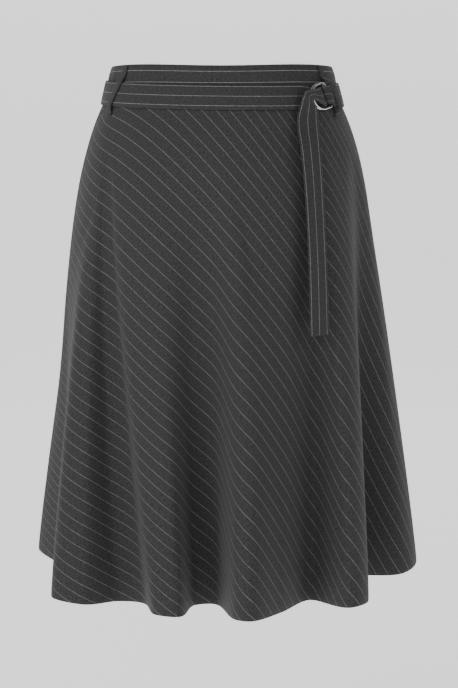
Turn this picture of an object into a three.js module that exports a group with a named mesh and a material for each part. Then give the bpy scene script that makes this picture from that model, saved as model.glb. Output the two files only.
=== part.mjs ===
// A flared midi skirt, worn: two side seams, a centre-back seam with a concealed zip, a straight
// waistband, belt loops, and a cloth belt that runs through two D-rings and hangs down in front.
// Millimetres, +Z up, the front towards -Y. The origin is the middle of the waist, 22 mm above the
// waist seam. Angles go round the waist from +X through the back (+Y), so the front is at 270.
import * as THREE from 'three';

// ---------------------------------------------------------------- driving dimensions
const GAP = 0.3;                    // space left at every seam and between pieces that touch
const CLOTH = 2.0;                  // wall of the skirt panels
const BAND = {
  wall: 3.0,                        // waistband: folded cloth with interfacing
  top: 26, seam: -22,               // heights of its upper edge and of the waist seam
  topAcross: 140.5, topDeep: 109,   // half sizes of its oval at the upper edge
  seamAcross: 149, seamDeep: 114.5, // and at the seam
};
const WAIST = { across: 151, deep: 116 };   // half sizes of the skirt's own oval at the waist seam
const LENGTH = 621.0;               // straight length of cloth from the waist seam to the hem
const HIP = { side: 33, front: 20, back: 34, reach: 85, fade: 0.8 };  // swell of the general figure
const LEAN_REACH = 0.04;            // share of the skirt over which a line's lean fades away
const STEPS_PER_ROW = 4;            // columns of the panels between two rows of the hem table
const PANEL_ROWS = 15;
const BELT = { wide: 30, thick: 2.4, ringWide: 23 };
// The D-rings lie at the right front: an arc to the left, a straight bar to the right.
const RING = { at: 322.2, arc: 15, bar: 12.5, corner: 4, wire: 2.2, lean: -12, bend: 125 };
const LOOP = { wide: 9.5, thick: 1.6, foot: 26 };   // foot: how far under the belt's middle
const ZIP = { angle: 90, wide: 24, thick: 1.0, top: 24, end: -200, clear: 0.6 };
const PULL = { pivot: 19.5, length: 16, wide: 5.6, thick: 1.2, rest: 11 };  // the zip's tab

// The hem, seen from above: one row for each crest, hollow and seam, going round from the left
// side seam. angle is the part of the waist its line of cloth hangs from; at the waist itself the
// line is turned further by lean. across is +X, back is +Y, and start is how far down the skirt
// (0 to 1) the fold begins.
const HEM = [
  { name: 'left seam', angle: 183, lean: 20, across: -243, back: 100, start: 0.42 },
  { name: 'left flap', angle: 186, lean: 19.2, across: -254, back: 80, start: 0.52 },
  { name: 'left tuck', angle: 190, lean: 16.4, across: -204, back: 6, start: 0.35 },
  { name: 'left side', angle: 197, lean: 11.4, across: -204, back: -50, start: 0.3 },
  { name: 'left corner', angle: 203, lean: 7, across: -211, back: -140, start: 0.25 },
  { name: 'left plain', angle: 206, lean: 5.3, across: -172, back: -157, start: 0.2 },
  { name: 'left hollow', angle: 208.8, lean: 3.9, across: -131, back: -124, start: 0.1 },
  { name: 'left foot', angle: 212.8, lean: 1.8, across: -99, back: -130, start: 0.1 },
  { name: 'crest one, left', angle: 218.5, lean: 1.5, across: -80, back: -192, start: 0.14 },
  { name: 'crest one, right', angle: 238, lean: 0, across: -52, back: -200, start: 0.14 },
  { name: 'hollow one, left', angle: 257, lean: 0, across: -34, back: -136, start: 0.1 },
  { name: 'hollow one, right', angle: 264.5, lean: 0, across: -8, back: -132, start: 0.1 },
  { name: 'crest two, left', angle: 276, lean: 0, across: 18, back: -218, start: 0.2 },
  { name: 'crest two', angle: 281, lean: 0, across: 35, back: -231, start: 0.3 },
  { name: 'crest two, right', angle: 296, lean: 0, across: 72, back: -178, start: 0.3 },
  { name: 'hollow two', angle: 312, lean: 0, across: 112, back: -116, start: 0.04 },
  { name: 'crest three', angle: 320.5, lean: 0, across: 158, back: -172, start: 0.08 },
  { name: 'right corner', angle: 329, lean: 0, across: 182, back: -147, start: 0.12 },
  { name: 'right tuck', angle: 344, lean: 0, across: 166, back: -10, start: 0.1 },
  { name: 'right flap', angle: 360.7, lean: 0, across: 238, back: -20, start: 0.23 },
  { name: 'right seam', angle: 372, lean: 0, across: 262, back: 30, start: 0.23 },
  { name: 'right back tuck', angle: 390.6, lean: 0, across: 224, back: 105, start: 0.3 },
  { name: 'right back crest', angle: 406.2, lean: 0, across: 205, back: 178, start: 0.3 },
  { name: 'back hollow, right', angle: 420.9, lean: 0, across: 130, back: 178, start: 0.3 },
  { name: 'back crest, right', angle: 435.4, lean: 0, across: 82, back: 240, start: 0.3 },
  { name: 'back seam', angle: 450, lean: 0, across: 10, back: 204, start: 0.3 },
  { name: 'back crest, left', angle: 466.1, lean: 0, across: -62, back: 246, start: 0.3 },
  { name: 'back hollow, left', angle: 481.6, lean: 0.3, across: -112, back: 186, start: 0.3 },
  { name: 'left back crest', angle: 498, lean: 2, across: -186, back: 192, start: 0.3 },
  { name: 'left back tuck', angle: 520, lean: 16, across: -210, back: 138, start: 0.35 },
];
// The panels: at which row of the hem each starts and ends.
const PANELS = [
  { name: 'skirt_front', startRow: 'left seam', endRow: 'right seam' },
  { name: 'skirt_back_right', startRow: 'right seam', endRow: 'back seam' },
  { name: 'skirt_back_left', startRow: 'back seam', endRow: 'left seam' },
];

const CHARCOAL = { color: 0x38383b, roughness: 0.92, metalness: 0.0 };
const TAPE = { color: 0x2b2b2e, roughness: 0.85, metalness: 0.0 };
const STEEL = { color: 0xc9cacc, roughness: 0.22, metalness: 1.0 };

// ---------------------------------------------------------------- small helpers
const group = new THREE.Group();
const radians = THREE.MathUtils.degToRad;
const lerp = THREE.MathUtils.lerp;
const V = (x, y, z) => new THREE.Vector3(x, y, z);

function add(name, geometry, finish) {
  const mesh = new THREE.Mesh(geometry, new THREE.MeshStandardMaterial(finish));
  mesh.name = name;
  group.add(mesh);
  return mesh;
}

// A closed wall between two grids of points of the same size: grid[column][row].
function slab(outer, inner) {
  const columns = outer.length;
  const rows = outer[0].length;
  const positions = [];
  const index = [];
  for (const grid of [outer, inner]) {
    for (const column of grid) {
      for (const p of column) positions.push(p.x, p.y, p.z);
    }
  }
  const o = (i, j) => i * rows + j;
  const n = (i, j) => columns * rows + i * rows + j;
  const quad = (a, b, c, d) => index.push(a, b, c, a, c, d);
  for (let i = 0; i < columns - 1; i++) {
    for (let j = 0; j < rows - 1; j++) {
      quad(o(i, j), o(i, j + 1), o(i + 1, j + 1), o(i + 1, j));
      quad(n(i, j), n(i + 1, j), n(i + 1, j + 1), n(i, j + 1));
    }
    quad(o(i, 0), o(i + 1, 0), n(i + 1, 0), n(i, 0));
    quad(o(i, rows - 1), n(i, rows - 1), n(i + 1, rows - 1), o(i + 1, rows - 1));
  }
  for (let j = 0; j < rows - 1; j++) {
    quad(o(0, j), n(0, j), n(0, j + 1), o(0, j + 1));
    quad(o(columns - 1, j), o(columns - 1, j + 1), n(columns - 1, j + 1), n(columns - 1, j));
  }
  const geometry = new THREE.BufferGeometry();
  geometry.setAttribute('position', new THREE.Float32BufferAttribute(positions, 3));
  geometry.setIndex(index);
  geometry.computeVertexNormals();
  return geometry;
}

// ---------------------------------------------------------------- ovals round the waist
const onOval = (across, deep, angle) => ({
  x: across * Math.cos(radians(angle)), y: deep * Math.sin(radians(angle)),
});

function ovalNormal(across, deep, angle) {
  const n = V(Math.cos(radians(angle)) / across, Math.sin(radians(angle)) / deep, 0);
  return n.normalize();
}

// ---------------------------------------------------------------- the hem's outline
const hemGap = (a, b) => Math.hypot(b.across - a.across, b.back - a.back);

// A centripetal spline through the rows of the hem table, closed on itself.
function hemOutline() {
  const points = [];
  const count = HEM.length;
  const rowAt = (r) => {
    const turns = Math.floor(r / count);
    const row = HEM[r - turns * count];
    return { ...row, angle: row.angle + 360 * turns };
  };
  const mix = (a, b, ta, tb, t) => {
    const part = (t - ta) / (tb - ta);
    return {
      angle: lerp(a.angle, b.angle, part),
      lean: lerp(a.lean, b.lean, part),
      across: lerp(a.across, b.across, part),
      back: lerp(a.back, b.back, part),
      start: lerp(a.start, b.start, part),
    };
  };
  const knot = (a, b) => Math.sqrt(hemGap(a, b));
  for (let r = 0; r < count; r++) {
    const p = [-1, 0, 1, 2].map((k) => rowAt(r + k));
    const t1 = knot(p[0], p[1]);
    const t2 = t1 + knot(p[1], p[2]);
    const t3 = t2 + knot(p[2], p[3]);
    for (let s = 0; s < STEPS_PER_ROW; s++) {
      const t = lerp(t1, t2, s / STEPS_PER_ROW);
      const a1 = mix(p[0], p[1], 0, t1, t);
      const a2 = mix(p[1], p[2], t1, t2, t);
      const a3 = mix(p[2], p[3], t2, t3, t);
      const b1 = mix(a1, a2, 0, t2, t);
      const b2 = mix(a2, a3, t1, t3, t);
      points.push(mix(b1, b2, t1, t2, t));
    }
  }
  return points;
}

// The columns of cloth from which and to which a panel runs.
function panelSpan(panel) {
  const columnOf = (name) => HEM.findIndex((row) => row.name === name) * STEPS_PER_ROW;
  const first = columnOf(panel.startRow);
  const last = columnOf(panel.endRow);
  return { first, last: last > first ? last : last + columns.length };
}

// The hem with its folds let out: its mean and first two harmonics round its length.
function letOutHem(columns) {
  const count = columns.length;
  const turns = [0];
  columns.forEach((column, i) => {
    turns.push(turns[i] + hemGap(column, columns[(i + 1) % count]));
  });
  const total = turns[count];
  const phase = turns.map((length) => (2 * Math.PI * length) / total);
  const weight = columns.map((_, i) => {
    const before = i === 0 ? total - turns[count - 1] : turns[i] - turns[i - 1];
    return (before + turns[i + 1] - turns[i]) / (2 * total);
  });
  const sum = (key, wave) => columns.reduce((s, c, i) => s + weight[i] * c[key] * wave(i), 0);
  columns.forEach((column) => { column.smooth = { x: 0, y: 0 }; });
  for (let h = 0; h <= 2; h++) {
    const share = h === 0 ? 1 : 2;
    for (const [key, axis] of [['across', 'x'], ['back', 'y']]) {
      const c = share * sum(key, (i) => Math.cos(h * phase[i]));
      const s = share * sum(key, (i) => Math.sin(h * phase[i]));
      columns.forEach((column, i) => {
        column.smooth[axis] += c * Math.cos(h * phase[i]) + s * Math.sin(h * phase[i]);
      });
    }
  }
}

const columns = hemOutline();
letOutHem(columns);
for (const column of columns) {
  const outside = 1 - 1 / Math.hypot(column.across / WAIST.across, column.back / WAIST.deep);
  const reach = Math.hypot(column.across, column.back) * outside;
  column.drop = Math.sqrt(LENGTH * LENGTH - reach * reach);
}

// The angle a column of the cloth hangs from, as seen from a share of the way down it.
const turnedAngle = (column, down) => column.angle + column.lean * Math.exp(-down / LEAN_REACH);

// A point of the skirt's middle surface: a column of the cloth, and how far down it, 0 to 1.
function skirtPoint(column, down) {
  const angle = turnedAngle(column, down);
  const waist = onOval(WAIST.across, WAIST.deep, angle);
  const n = ovalNormal(WAIST.across, WAIST.deep, angle);
  const swell = HIP.side * n.x * n.x + (n.y < 0 ? HIP.front : HIP.back) * n.y * n.y;
  const hip = swell * (1 - Math.exp((-down * LENGTH) / HIP.reach)) * (1 - down) ** HIP.fade;
  const fold = Math.max(0, (down - column.start) / (1 - column.start));
  return V(
    lerp(waist.x, column.smooth.x, down) + (column.across - column.smooth.x) * fold + n.x * hip,
    lerp(waist.y, column.smooth.y, down) + (column.back - column.smooth.y) * fold + n.y * hip,
    BAND.seam - GAP / 2 - column.drop * down,
  );
}

// ---------------------------------------------------------------- the panels
// Rows are closer together over the hip, where the side bends most.
const rowShares = Array.from({ length: PANEL_ROWS + 1 }, (_, j) => (j / PANEL_ROWS) ** 1.25);
const net = columns.map((column) => rowShares.map((down) => skirtPoint(column, down)));
const count = columns.length;
const wrap = (i) => ((i % count) + count) % count;

function netNormal(i, j) {
  const along = net[wrap(i + 1)][j].clone().sub(net[wrap(i - 1)][j]);
  const column = net[wrap(i)];
  const down = column[Math.min(j + 1, PANEL_ROWS)].clone().sub(column[Math.max(j - 1, 0)]);
  return down.cross(along).normalize();
}

function panelGrids(panel) {
  const outer = [];
  const inner = [];
  const { first, last } = panelSpan(panel);
  for (let i = first; i <= last; i++) {
    const inward = i === first ? 1 : -1;
    const atSeam = i === first || i === last;
    const outerColumn = [];
    const innerColumn = [];
    for (let j = 0; j <= PANEL_ROWS; j++) {
      const p = net[wrap(i)][j].clone();
      const n = netNormal(i, j);
      if (atSeam) {
        const along = net[wrap(i + 1)][j].clone().sub(net[wrap(i - 1)][j]);
        p.addScaledVector(along.normalize(), (inward * GAP) / 2);
      }
      outerColumn.push(p.clone().addScaledVector(n, CLOTH / 2));
      innerColumn.push(p.clone().addScaledVector(n, -CLOTH / 2));
    }
    outer.push(outerColumn);
    inner.push(innerColumn);
  }
  return { outer, inner };
}

for (const panel of PANELS) {
  const { outer, inner } = panelGrids(panel);
  add(panel.name, slab(outer, inner), CHARCOAL);
}

// ---------------------------------------------------------------- the waistband
// A point on the waistband, or below its seam on the skirt, moved out from the outer face.
// Negative distances beyond the wall lie inside.
function bandPoint(angle, z, out) {
  const up = (z - BAND.seam) / (BAND.top - BAND.seam);
  const across = lerp(BAND.seamAcross, BAND.topAcross, up);
  const deep = lerp(BAND.seamDeep, BAND.topDeep, up);
  const p = onOval(across, deep, angle);
  return V(p.x, p.y, z).addScaledVector(ovalNormal(across, deep, angle), out);
}

function skirtAt(angle, z, out) {
  const level = (BAND.seam - z) / LENGTH;
  const turned = (column) => (turnedAngle(column, level) - angle + 720) % 360;
  let best = 0;
  for (let i = 0; i < count; i++) {
    if (turned(columns[i]) > turned(columns[best])) best = i;
  }
  const a = columns[best];
  const b = columns[wrap(best + 1)];
  const before = 360 - turned(a);
  const part = before / (before + turned(b));
  const down = (z - BAND.seam) / -lerp(a.drop, b.drop, part);
  const p = skirtPoint(a, down).lerp(skirtPoint(b, down), part);
  p.z = z;
  return p.addScaledVector(ovalNormal(WAIST.across, WAIST.deep, angle), out);
}

// What the belt and its loops lie on, seen from outside: the band above the seam, cloth below.
function outside(angle, z, out) {
  if (z >= BAND.seam) return bandPoint(angle, z, BAND.wall / 2 + out);
  return skirtAt(angle, z, CLOTH / 2 + out);
}

const BAND_PIECES = [
  { name: 'waistband_front', from: 203, to: 372, steps: 28 },
  { name: 'waistband_back_right', from: 372, to: 450, steps: 14 },
  { name: 'waistband_back_left', from: 450, to: 563, steps: 18 },
];
const seamTurn = (angle) => {       // half a seam's gap as an angle
  const p = onOval(WAIST.across, WAIST.deep, angle + 0.5);
  const q = onOval(WAIST.across, WAIST.deep, angle - 0.5);
  return GAP / 2 / Math.hypot(p.x - q.x, p.y - q.y);
};
for (const piece of BAND_PIECES) {
  const outer = [];
  const inner = [];
  const from = piece.from + seamTurn(piece.from);
  const to = piece.to - seamTurn(piece.to);
  for (let i = 0; i <= piece.steps; i++) {
    const angle = lerp(from, to, i / piece.steps);
    const heights = [BAND.top, BAND.seam + GAP / 2];
    outer.push(heights.map((z) => bandPoint(angle, z, BAND.wall / 2)));
    inner.push(heights.map((z) => bandPoint(angle, z, -BAND.wall / 2)));
  }
  add(piece.name, slab(outer, inner), CHARCOAL);
}

// ---------------------------------------------------------------- the belt
// The belt hangs a little lower in front than at the sides.
const beltHeight = (angle) => -9 - 1.5 * Math.cos(radians(angle))
  + 4.5 * Math.min(0, Math.sin(radians(angle)));

// A point of the belt's path: angle round the waist, distance of its middle off the cloth
// below, and up from -1 (lower edge) to 1 (upper edge) of a belt this wide.
function beltPoint(angle, off, up, wide) {
  const top = outside(angle, beltHeight(angle) + BELT.wide / 2, off);
  const foot = outside(angle, beltHeight(angle) - BELT.wide / 2, off);
  return foot.lerp(top, 0.5 + (up * wide) / (2 * BELT.wide));
}

// The strap's path seen from above, from the end sewn round the rings' bars, under the rings,
// round the back and the left side to the front, and in under the rings again.
const LAYER = 0.6 + BELT.thick / 2;      // middle of a strap that lies on the band
const MM_PER_DEGREE = 2.29;              // along the belt near the rings
const ringAt = (mm) => RING.at + mm / MM_PER_DEGREE;     // mm to the right of the rings' middle
// A ring is flat and the band bends away behind it, with a radius of RING.bend.
const standOff = (mm) => (mm * mm) / (2 * RING.bend);
// How far off the band the two rings lie, one over the other, and the strap round their bars.
const firstRing = LAYER + BELT.thick / 2 + GAP + RING.wire / 2;
const secondRing = firstRing + RING.wire + GAP;
const slope = Math.tan(radians(RING.lean));              // the straps round a ring lean with it
const overRings = secondRing + RING.wire / 2 + 2 * GAP + BELT.thick / 2;

// A strap turns back on itself round something centred at mm: right is 1, left is -1.
function halfTurn(path, centre, from, to, side, rise) {
  const radius = Math.abs(to - from) / 2;
  const steps = 6;
  for (let k = 0; k <= steps; k++) {
    const swing = (Math.PI * k) / steps;
    const off = (from + to) / 2 + ((from - to) / 2) * Math.cos(swing);
    const mm = centre + side * radius * Math.sin(swing);
    path.push({ mm, off, rise, slope, wide: BELT.ringWide });
  }
}

function beltPath() {
  const sewn = LAYER + BELT.thick + GAP;
  const path = [
    { mm: 36, off: sewn, wide: BELT.wide },
    { mm: 28, off: sewn, wide: BELT.wide },
    { mm: 24.5, off: sewn + 0.5, wide: 29 },
    { mm: 21, off: sewn + 1.9, wide: 28, rise: 0.7, slope: slope * 0.5 },
    { mm: 17.8, off: overRings - 2.4, wide: 26, rise: 1.4, slope: slope * 0.8 },
    { mm: 15, off: overRings + 0.2, wide: 25, rise: 1.8, slope },
    { mm: 12, off: overRings + standOff(12), wide: BELT.ringWide, rise: 2.2, slope },
  ];
  halfTurn(path, 9.5, overRings + standOff(9.5), LAYER, -1, 2.2);
  path.push({ mm: 18, off: LAYER, wide: 26, rise: 1 });
  path.push({ mm: 28, off: LAYER, wide: BELT.wide });
  const first = ringAt(34);
  const last = ringAt(-28) + 360;
  const steps = 72;
  for (let k = 0; k <= steps; k++) {
    const angle = lerp(first, last, k / steps);
    path.push({ mm: (angle - RING.at) * MM_PER_DEGREE, off: LAYER, wide: BELT.wide });
  }
  const whole = 360 * MM_PER_DEGREE;
  path.push({ mm: whole - 20, off: LAYER, wide: 28 });
  path.push({ mm: whole - 12, off: LAYER, wide: 25, slope: slope * 0.5 });
  path.push({ mm: whole - 3, off: LAYER, wide: BELT.ringWide, slope });
  return path;
}

function ribbon(path, thick, pointAt) {
  const edges = path.map((step) => [pointAt(step, 1), pointAt(step, -1)]);
  const outer = [];
  const inner = [];
  edges.forEach(([top, foot], i) => {
    const before = edges[Math.max(i - 1, 0)];
    const after = edges[Math.min(i + 1, edges.length - 1)];
    const along = after[0].clone().add(after[1]).sub(before[0]).sub(before[1]);
    const down = foot.clone().sub(top);
    const n = down.cross(along).normalize();
    outer.push([top, foot].map((p) => p.clone().addScaledVector(n, thick / 2)));
    inner.push([top, foot].map((p) => p.clone().addScaledVector(n, -thick / 2)));
  });
  return slab(outer, inner);
}

function onBelt(step, up) {
  const mm = step.mm + ((step.slope ?? 0) * up * step.wide) / 2;
  const wide = step.wide;
  return beltPoint(ringAt(mm), step.off, up + ((step.rise ?? 0) * 2) / wide, wide);
}
add('belt_wrap', ribbon(beltPath(), BELT.thick, onBelt), CHARCOAL);

// The free end comes up through the two rings, turns back over their arcs, and drops.
const TAIL_IN_RINGS = [
  { mm: -7, wide: 19, rise: 0.8 },
  { mm: -11, wide: 16, rise: 1.6 },
  { mm: -16, wide: 14, rise: 2.4 },
  { mm: -18.5, wide: 13.5, rise: 2.4 },
];
// Its two edges where it hangs, clear of the skirt: the left edge stands off the hollow.
const TAIL_HANGING = [
  { left: [102, -99.5, -6], right: [112, -93.3, -19.5] },
  { left: [97.3, -102.8, -16.5], right: [116.3, -90.2, -24.5] },
  { left: [94.3, -105.8, -27.5], right: [117.8, -91.8, -32.5] },
  { left: [91.9, -109.3, -38], right: [118.2, -94.6, -40] },
  { left: [92.1, -114.8, -52], right: [119.1, -99.8, -53] },
  { left: [95, -123.5, -71], right: [120.5, -108, -72] },
  { left: [99.5, -133, -115], right: [123.5, -117, -115] },
  { left: [103.5, -141, -175], right: [126.5, -127, -175] },
  { left: [105.5, -146, -218], right: [128.5, -132.5, -218] },
  { left: [106.5, -150.5, -259], right: [130, -138, -259] },
  { left: [107.5, -155, -299.5], right: [131, -142.5, -299] },
];

function tailEdges() {
  const path = [];
  halfTurn(path, -2.4, LAYER, overRings, 1, 0);
  for (const step of TAIL_IN_RINGS) {
    path.push({ ...step, off: overRings + standOff(step.mm), slope });
  }
  const edges = path.map((step) => [onBelt(step, 1), onBelt(step, -1)]);
  return [...edges, ...TAIL_HANGING.map((row) => [V(...row.left), V(...row.right)])];
}
add('belt_tail', ribbon(tailEdges(), BELT.thick, (edges, up) => edges[up > 0 ? 0 : 1]), CHARCOAL);

// ---------------------------------------------------------------- the D-rings
// The outline starts at the top of the bar and runs over the arc: right is along the belt.
function ringOutline() {
  const points = [];
  const arcSteps = 14;
  for (let k = 0; k <= arcSteps; k++) {
    const swing = Math.PI * (0.5 + k / arcSteps);
    points.push([RING.arc * Math.cos(swing), RING.arc * Math.sin(swing)]);
  }
  const inset = RING.bar - RING.corner;
  for (const side of [-1, 1]) {
    for (let k = 0; k <= 4; k++) {
      const swing = (Math.PI / 8) * (side < 0 ? k - 4 : k);
      points.push([
        inset + RING.corner * Math.cos(swing),
        side * (RING.arc - RING.corner) + RING.corner * Math.sin(swing),
      ]);
    }
  }
  return points;
}

// A ring of wire, moved along the belt by shift; it may tilt from its arc to its bar.
function ringGeometry(shift, off) {
  const lean = radians(RING.lean);
  const path = ringOutline().map(([right, up]) => {
    const mm = right * Math.cos(lean) + up * Math.sin(lean) + shift;
    const rise = up * Math.cos(lean) - right * Math.sin(lean);
    return beltPoint(ringAt(mm), off + standOff(mm), rise / (BELT.wide / 2), BELT.wide);
  });
  const curve = new THREE.CatmullRomCurve3(path, true, 'centripetal');
  return new THREE.TubeGeometry(curve, 56, RING.wire / 2, 8, true);
}
add('d_ring_inner', ringGeometry(-1.5, firstRing), STEEL);
add('d_ring_outer', ringGeometry(0, secondRing), STEEL);

// ---------------------------------------------------------------- the belt loops
// Each is sewn to the band's upper edge and just under the belt, which holds it off the band:
// high and low are how far what lies under it comes, at the belt's upper and lower edge. The
// right front loop also crosses the belt's sewn end, where that comes off the rings.
const flat = LAYER + BELT.thick / 2 + GAP;
const LOOPS = [
  { name: 'belt_loop_front_left', top: 213.3, foot: 207, high: flat + 0.5, low: flat + 0.5 },
  { name: 'belt_loop_front_right', top: 329, foot: 335, high: 11.9, low: 9.2 },
  { name: 'belt_loop_back_right', top: 58, foot: 58, high: flat, low: flat },
  { name: 'belt_loop_back_left', top: 122, foot: 122, high: flat, low: flat },
];

// A point of a loop: rise is its height over the middle of the belt.
function loopPoint(loop, rise, off, up) {
  const speed = onOval(BAND.seamDeep, BAND.seamAcross, loop.top);
  const half = THREE.MathUtils.radToDeg(LOOP.wide / 2 / Math.hypot(speed.x, speed.y));
  const top = BAND.top - 1.5 - beltHeight(loop.top);
  const share = (top - rise) / (top + LOOP.foot);
  const moved = THREE.MathUtils.smoothstep(share, 0.15, 0.8);    // it swings aside at the belt
  const angle = lerp(loop.top, loop.foot, moved) + up * half;
  if (Math.abs(rise) < BELT.wide / 2 + 3) return beltPoint(angle, off, rise * 2 / BELT.wide, BELT.wide);
  return outside(angle, beltHeight(angle) + rise, off);
}

for (const loop of LOOPS) {
  const sewn = LOOP.thick / 2 + GAP;
  const over = GAP + LOOP.thick / 2;
  const high = loop.high + over;
  const low = loop.low + over;
  const path = [
    { rise: BAND.top - 1.5 - beltHeight(loop.top), off: sewn },
    { rise: 24, off: sewn + 0.2 },
    { rise: 20.5, off: lerp(sewn, high, 0.5) },
    { rise: 17.5, off: lerp(sewn, high, 0.95) },
    { rise: 13, off: high },
    { rise: -13, off: low },
    { rise: -17.5, off: lerp(sewn, low, 0.9) },
    { rise: -20.5, off: lerp(sewn, low, 0.4) },
    { rise: -22.5, off: sewn + 0.2 },
    { rise: -LOOP.foot, off: sewn },
  ];
  const edge = (step, up) => loopPoint(loop, step.rise, step.off, up);
  add(loop.name, ribbon(path, LOOP.thick, edge), CHARCOAL);
}

// ---------------------------------------------------------------- the concealed zip
// Its tape lies inside, across the centre-back seam of the waistband and the skirt.
const tapeRows = [ZIP.top, -6, BAND.seam - 1, -32, -60, -95, -130, -165, ZIP.end];
const tapeSides = [-1, -0.5, 0, 0.5, 1];
const tapeGrid = (off) => tapeSides.map((side) => {
  const angle = ZIP.angle + side * THREE.MathUtils.radToDeg(ZIP.wide / 2 / WAIST.across);
  return tapeRows.map((z) => (z > BAND.seam - 2
    ? bandPoint(angle, z, -BAND.wall / 2 - off)
    : skirtAt(angle, z, -CLOTH / 2 - off - ZIP.clear)));
});
add('zip_tape', slab(tapeGrid(0.5), tapeGrid(0.5 + ZIP.thick)), TAPE);

// The slider stands out through the top of the seam as a small bridge, cut through for the tab.
const sliderFoot = bandPoint(ZIP.angle, PULL.pivot - 4.2, BAND.wall / 2 + GAP);
const pivotY = sliderFoot.y + 2.4;
function sliderGeometry() {
  const side = new THREE.Shape();
  side.moveTo(-2.4, -4.2);
  side.lineTo(-1.2, -4.2);
  side.lineTo(1.2, -2.7);
  side.lineTo(2.1, -1.8);
  side.lineTo(2.1, 1.8);
  side.lineTo(1.2, 2.7);
  side.lineTo(-1.2, 3.6);
  side.lineTo(-2.4, 3.6);
  side.closePath();
  const eye = new THREE.Path();
  eye.moveTo(-1.2, -1.6);
  eye.lineTo(-1.2, 1.6);
  eye.lineTo(1.2, 1.6);
  eye.lineTo(1.2, -1.6);
  eye.closePath();
  side.holes.push(eye);
  const width = 2.2;
  const geometry = new THREE.ExtrudeGeometry(side, { depth: width, bevelEnabled: false });
  geometry.translate(0, 0, -width / 2);
  // The drawing's right is the way out of the cloth (+Y) and its up is +Z.
  geometry.applyMatrix4(new THREE.Matrix4().makeBasis(V(0, 1, 0), V(0, 0, 1), V(1, 0, 0)));
  return geometry;
}
add('zip_slider', sliderGeometry(), STEEL).position.set(0, pivotY, PULL.pivot);

// The tab hangs on the bridge by the bar above its window, and rests on the belt's upper edge.
function pullGeometry() {
  const half = PULL.wide / 2;
  const tab = new THREE.Shape();
  tab.moveTo(-2.5, 0.6);
  tab.lineTo(-half, -PULL.length + half);
  tab.absarc(0, -PULL.length + half, half, Math.PI, 2 * Math.PI, false);
  tab.lineTo(2.5, 0.6);
  tab.closePath();
  const window = new THREE.Path();
  window.moveTo(-1.6, -0.6);
  window.lineTo(1.6, -0.6);
  window.lineTo(1.6, -4.8);
  window.lineTo(-1.6, -4.8);
  window.closePath();
  tab.holes.push(window);
  const geometry = new THREE.ExtrudeGeometry(tab,
    { depth: PULL.thick, bevelEnabled: false, curveSegments: 10 });
  geometry.translate(0, 0, -PULL.thick / 2);
  geometry.applyMatrix4(new THREE.Matrix4().makeBasis(V(-1, 0, 0), V(0, 0, 1), V(0, 1, 0)));
  return geometry;
}
const pull = add('zip_pull', pullGeometry(), STEEL);
pull.position.set(0, pivotY, PULL.pivot);
pull.rotation.x = radians(PULL.rest);

export default group;
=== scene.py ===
"""The looks of a flared midi skirt in charcoal pinstripe suiting, with a cloth belt on two D-rings.

Sizes are in millimetres and angles in degrees round the waist, from +X through the back (+Y), as
in the CAD part, so that every shell lies on its solid. The front is towards -Y. Meshes are built
with numpy in millimetres and become Blender objects in metres.
"""

import math

import bmesh
import bpy
import numpy as np
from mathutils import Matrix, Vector


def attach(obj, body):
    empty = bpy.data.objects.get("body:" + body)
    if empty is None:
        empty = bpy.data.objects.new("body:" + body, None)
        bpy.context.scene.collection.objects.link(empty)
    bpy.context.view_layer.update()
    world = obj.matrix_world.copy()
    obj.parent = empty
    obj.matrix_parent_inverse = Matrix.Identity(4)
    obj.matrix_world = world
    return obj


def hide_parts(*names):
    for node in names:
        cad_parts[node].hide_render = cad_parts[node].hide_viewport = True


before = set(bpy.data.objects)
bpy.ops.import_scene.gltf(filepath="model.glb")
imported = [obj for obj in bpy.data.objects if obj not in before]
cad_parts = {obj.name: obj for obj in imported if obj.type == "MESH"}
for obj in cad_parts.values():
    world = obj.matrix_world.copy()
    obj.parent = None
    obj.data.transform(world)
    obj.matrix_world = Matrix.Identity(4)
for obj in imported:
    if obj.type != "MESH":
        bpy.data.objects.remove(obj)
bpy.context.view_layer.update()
MM = 0.001
BODY = "skirt"

# ---------------------------------------------------------------- camera, floor and light
CAMERA_AT = Vector((0.009, -2.100, -0.006))
CAMERA_LOOKS_AT = Vector((0.009, 0.0, -0.333))
LENS, SENSOR = 85.0, 36.0        # millimetres
FLOOR_Z = -1.06
FLOOR_GREY, FLOOR_GLOW = 0.86, 0.8
WORLD_LIGHT = 0.24
LIGHTS_AIM = Vector((0.0, 0.0, -0.3))
# Columns: name, place, size in metres, power in watts.
LIGHTS = [
    ("key", (-2.2, -2.05, 0.9), 1.6, 50),
    ("front", (-0.3, -3.0, 1.2), 1.6, 22),
    ("side", (2.4, -1.8, 0.9), 1.6, 18),
    ("rim", (0.0, 2.6, 2.0), 2.0, 14),
]


def look_at(obj, target):
    obj.rotation_euler = (target - obj.location).to_track_quat("-Z", "Y").to_euler()


def make_camera():
    data = bpy.data.cameras.new("Camera")
    data.lens = LENS
    data.sensor_width = SENSOR
    data.dof.use_dof = False
    data.clip_end = 60
    camera = bpy.data.objects.new("Camera", data)
    bpy.context.scene.collection.objects.link(camera)
    camera.location = CAMERA_AT
    look_at(camera, CAMERA_LOOKS_AT)
    bpy.context.scene.camera = camera


def make_area_light(name, at, size, power):
    data = bpy.data.lights.new(name, "AREA")
    data.shape = "DISK"
    data.size = size
    data.energy = power
    light = bpy.data.objects.new(name, data)
    bpy.context.scene.collection.objects.link(light)
    light.location = at
    look_at(light, LIGHTS_AIM)


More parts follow.
